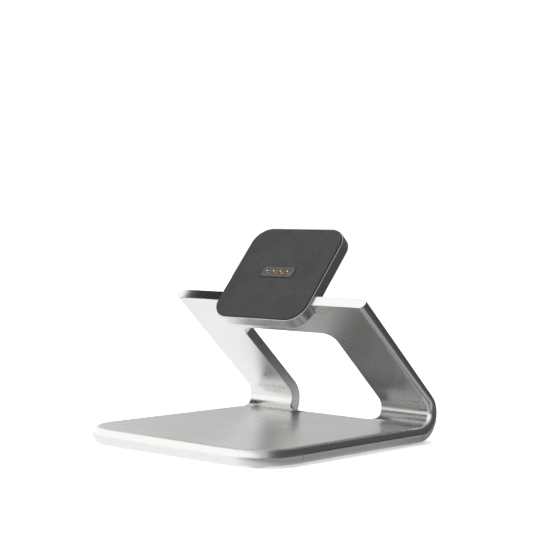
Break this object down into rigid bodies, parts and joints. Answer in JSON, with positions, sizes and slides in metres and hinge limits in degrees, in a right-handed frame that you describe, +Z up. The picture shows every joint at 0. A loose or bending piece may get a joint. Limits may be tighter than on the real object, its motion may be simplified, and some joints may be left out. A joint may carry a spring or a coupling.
{
  "type": "tablet stand",
  "caption": "Bent aluminium plate stand: flat weighted base, windowed arm leaning forward, and a square magnetic dock head with spring contacts that holds and charges a cased tablet.",
  "frame": {"origin": "middle of the footprint, on the surface that the feet stand on", "axes": "+X to the right, +Y to the back where the plate bends, +Z up; the user and the dock face are towards -Y"},
  "size_m": [0.167, 0.1882, 0.1452],
  "materials": {
    "satin_aluminium": "bead-blasted, clear anodised satin",
    "satin_aluminium_cover": "bead-blasted, clear anodised satin",
    "black_rubber": "matt moulded",
    "zinc_steel": "zinc plated",
    "black_screw_steel": "black oxide",
    "green_board": "solder mask over glass fibre",
    "amber_flat_cable": "polyimide film",
    "nickel_magnet": "nickel plated",
    "gold_contact": "gold plated brass",
    "ferrite": "sintered ferrite",
    "black_plastic": "fine-textured moulded"
  },
  "bodies": {
    "stand": {"ballast_plate_left": "zinc_steel", "ballast_plate_right": "zinc_steel", "bottom_cover": "satin_aluminium_cover", "channel_cover": "satin_aluminium_cover", "contact_barrel_1": "gold_contact", "contact_barrel_2": "gold_contact", "contact_barrel_3": "gold_contact", "contact_barrel_4": "gold_contact", "contact_block": "black_plastic", "contact_board": "green_board", "cover_screw_1": "black_screw_steel", "cover_screw_2": "black_screw_steel", "cover_screw_3": "black_screw_steel", "cover_screw_4": "black_screw_steel", "cover_screw_5": "black_screw_steel", "cover_screw_6": "black_screw_steel", "dock_cable": "amber_flat_cable", "dock_pad": "black_rubber", "foot_front_left": "black_rubber", "foot_front_right": "black_rubber", "foot_rear_left": "black_rubber", "foot_rear_right": "black_rubber", "head_face_plate": "black_plastic", "head_housing": "satin_aluminium", "head_screw_1": "black_screw_steel", "head_screw_2": "black_screw_steel", "head_screw_3": "black_screw_steel", "head_screw_4": "black_screw_steel", "magnet_1": "nickel_magnet", "magnet_2": "nickel_magnet", "magnet_3": "nickel_magnet", "magnet_4": "nickel_magnet", "magnet_keeper": "zinc_steel", "power_board": "green_board", "power_chip": "black_plastic", "power_inductor": "ferrite", "power_socket_shell": "zinc_steel", "power_socket_tongue": "black_plastic", "stand_body": "satin_aluminium"},
    "contact_1": {"contact_pin_1": "gold_contact"},
    "contact_2": {"contact_pin_2": "gold_contact"},
    "contact_3": {"contact_pin_3": "gold_contact"},
    "contact_4": {"contact_pin_4": "gold_contact"}
  },
  "joints": [
    {"name": "contact_1_press", "type": "slide", "parent": "stand", "child": "contact_1", "axis": [0, 0.7593, -0.6508], "range_m": [0, 0.0012], "stiffness_N_per_m": 600},
    {"name": "contact_2_press", "type": "slide", "parent": "stand", "child": "contact_2", "axis": [0, 0.7593, -0.6508], "range_m": [0, 0.0012], "stiffness_N_per_m": 600},
    {"name": "contact_3_press", "type": "slide", "parent": "stand", "child": "contact_3", "axis": [0, 0.7593, -0.6508], "range_m": [0, 0.0012], "stiffness_N_per_m": 600},
    {"name": "contact_4_press", "type": "slide", "parent": "stand", "child": "contact_4", "axis": [0, 0.7593, -0.6508], "range_m": [0, 0.0012], "stiffness_N_per_m": 600}
  ]
}
